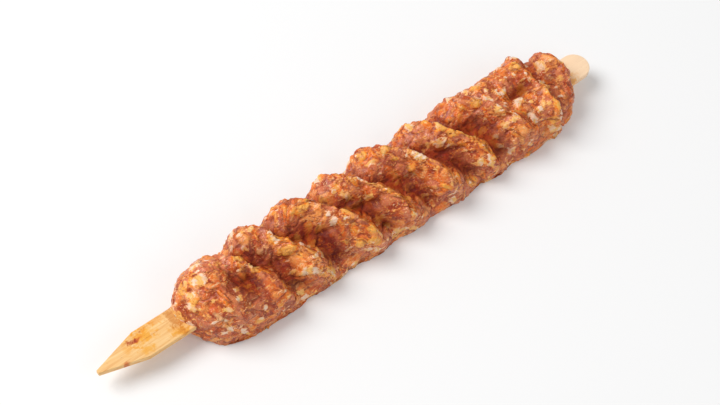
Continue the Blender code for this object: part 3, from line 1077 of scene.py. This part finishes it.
WOOD_LOOK = {"Roughness": 0.62}
WOOD_SHADES = (
    (0.30, paint(220, 156, 88)),
    (0.44, paint(234, 184, 116)),
    (0.56, paint(239, 193, 128)),
    (0.70, paint(244, 206, 148)),
)
NO_TURN = (0.0, 0.0, 0.0)
WOOD_GRAIN = (0.7 * MM, 5.0, 0.5, 0.6)
WOOD_GRAIN_STRETCH = (0.05, 1.0, 1.0)
WOOD_BUMPS = (0.5, 0.15 * MM)
PALE_END = (TIP_X + 170 * MM, TIP_X + 195 * MM, 0.0, 0.65)
PALE_END_WOOD = paint(255, 228, 200)
PORES = (0.35 * MM, 2.0, 0.0, 0.5)
PORE_STRETCH = (0.22, 1.0, 1.0)
PORE_SPREAD = (0.66, 0.74, 0.0, 0.45)
PORE_BROWN = paint(170, 104, 52)
STAIN_EDGES = (1.8 * MM, 5.0, 0.6, 0.65)
STAIN_WAVER = 0.80
STAIN_FADE = (0.30, 1.35)

# Stains that the meat left on the stick: (mm from the tip, mm to the far side, half-length and
# half-width in mm, colour that the wood is tinted with, strength)
STICK_STAINS = (
    (17.6, 2.0, 4.6, 3.0, (252, 222, 116), 1.00),
    (16.8, 3.2, 2.0, 1.4, (250, 222, 124), 0.60),
    (11.6, 0.8, 2.4, 1.8, (252, 230, 176), 0.80),
    (16.5, -2.5, 2.4, 1.5, (252, 226, 130), 0.80),
    (19.4, 5.0, 1.8, 1.3, (248, 218, 140), 0.50),
    (24.0, 4.5, 2.0, 1.4, (248, 216, 160), 0.70),
    (28.4, -3.6, 3.6, 2.6, (248, 214, 112), 1.00),
    (28.6, 1.6, 1.8, 5.0, (220, 184, 132), 0.90),
    (13.4, 2.3, 1.5, 0.9, (200, 132, 96), 1.00),
    (14.9, 1.8, 1.6, 0.6, (220, 150, 100), 0.90),
    (8.3, -3.0, 0.8, 0.6, (220, 150, 110), 0.90),
    (17.5, 3.7, 0.5, 0.4, (200, 136, 100), 0.90),
    (189.4, -3.3, 3.0, 2.8, (250, 214, 150), 1.00),
    (191.0, 2.0, 1.8, 2.4, (250, 226, 186), 0.60),
)


def stain_mask(tree, place, edge, from_tip, far, half_length, half_width, strength):
    """The strength inside a blot through the stick, fading to 0 across its ragged edge."""
    middle = (TIP_X + from_tip * MM, AXIS_Y + far * MM, STICK_MID_HEIGHT)
    offset = add_node(tree, "ShaderNodeVectorMath", {0: place, 1: middle}, operation="SUBTRACT")
    size = (half_length * MM, half_width * MM, 1.0)
    inputs = {0: offset.outputs[0], 1: size}
    scaled = add_node(tree, "ShaderNodeVectorMath", inputs, operation="DIVIDE")
    length = add_node(tree, "ShaderNodeVectorMath", {0: scaled.outputs[0]}, operation="LENGTH")
    away = maths(tree, "ADD", length.outputs["Value"], edge)
    return spread(tree, away, *STAIN_FADE, strength, 0.0)


def make_wood_material():
    material, tree, shader = new_material("pale birch wood", WOOD_LOOK)
    place = add_node(tree, "ShaderNodeTexCoord").outputs["Object"]
    grain = streaks(tree, place, WOOD_GRAIN_STRETCH, NO_TURN, *WOOD_GRAIN)
    colour = ramp(tree, grain, WOOD_SHADES)
    along = add_node(tree, "ShaderNodeSeparateXYZ", {"Vector": place}).outputs["X"]
    colour = mixed(tree, spread(tree, along, *PALE_END), colour, PALE_END_WOOD)
    pores = streaks(tree, place, PORE_STRETCH, NO_TURN, *PORES)
    colour = mixed(tree, spread(tree, pores, *PORE_SPREAD), colour, PORE_BROWN)
    _, edge = mottled(tree, place, STAIN_WAVER, *STAIN_EDGES)
    for *blot, tint, strength in STICK_STAINS:
        mask = stain_mask(tree, place, edge, *blot, strength)
        colour = mixed(tree, mask, colour, paint(*tint), "MULTIPLY")
    tree.links.new(colour, shader.inputs["Base Color"])
    raise_bumps(tree, shader, grain, *WOOD_BUMPS)
    return material


# ---------------------------------------------------------------- studio

CAMERA_AZIMUTH = math.radians(-44.8)
CAMERA_ELEVATION = math.radians(56.85)
CAMERA_ROLL = math.radians(7.1)
CAMERA_DISTANCE = 0.549
CAMERA_LENS = 86.0
SENSOR_WIDTH = 36.0
NEAREST_SEEN = 0.01

LIGHT_SIZE = 1.0
LIGHTS = (
    ("key_softbox", (-0.65, 0.65, 1.2), 18.6),
    ("front_fill", (0.3, -1.2, 1.0), 3.0),
)
ROOM_LIGHT = 0.45
WHITE = (1.0, 1.0, 1.0, 1.0)
FLOOR_REACH = 3.0
FLOOR_LOOK = {
    "Base Color": (0.80, 0.80, 0.80, 1.0),
    "Roughness": 0.9,
    "Specular IOR Level": 0.0,
    "Emission Color": WHITE,
    "Emission Strength": 0.10,
}


def make_camera(centre):
    level = math.cos(CAMERA_ELEVATION)
    across = math.sin(CAMERA_AZIMUTH) * level
    toward = -math.cos(CAMERA_AZIMUTH) * level
    back = Vector((across, toward, math.sin(CAMERA_ELEVATION)))
    camera = bpy.data.objects.new("camera", bpy.data.cameras.new("camera"))
    bpy.context.scene.collection.objects.link(camera)
    camera.location = centre + back * CAMERA_DISTANCE
    aim = (-back).to_track_quat("-Z", "Y").to_matrix()
    camera.rotation_euler = (aim @ Matrix.Rotation(CAMERA_ROLL, 3, "Z")).to_euler()
    camera.data.lens = CAMERA_LENS
    camera.data.sensor_width = SENSOR_WIDTH
    camera.data.clip_start = NEAREST_SEEN
    bpy.context.scene.camera = camera


def make_light(name, place, aim, power):
    lamp = bpy.data.lights.new(name, "AREA")
    lamp.shape = "DISK"
    lamp.size = LIGHT_SIZE
    lamp.energy = power
    light = bpy.data.objects.new(name, lamp)
    light.location = place
    light.rotation_euler = (aim - Vector(place)).to_track_quat("-Z", "Y").to_euler()
    bpy.context.scene.collection.objects.link(light)


def make_room_light():
    world = bpy.data.worlds.new("studio")
    world.use_nodes = True
    background = world.node_tree.nodes["Background"]
    background.inputs["Color"].default_value = WHITE
    background.inputs["Strength"].default_value = ROOM_LIGHT
    bpy.context.scene.world = world


def make_floor():
    mesh = bpy.data.meshes.new("floor")
    corners = [(x * FLOOR_REACH, y * FLOOR_REACH, 0) for x, y in ((-1, -1), (1, -1), (1, 1), (-1, 1))]
    mesh.from_pydata(corners, [], [(0, 1, 2, 3)])
    material, _, _ = new_material("pale board", FLOOR_LOOK)
    floor = add_piece("floor", mesh, material)
    floor.location.z = CAD_BOX[0].z


def make_studio(centre):
    for name, place, power in LIGHTS:
        make_light(name, place, centre, power)
    make_room_light()
    make_floor()
    bpy.context.scene.view_settings.view_transform = "Standard"


# ---------------------------------------------------------------- assembly

make_streaks_group()
make_mottle_group()

meat = make_meat(make_meat_material())
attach(meat, "root")
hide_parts("minced_meat")

stick = make_stick(make_wood_material())
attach(stick, "root")
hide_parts("wooden_stick")

middle = (CAD_BOX[0] + CAD_BOX[1]) / 2
make_camera(middle)
make_studio(middle)
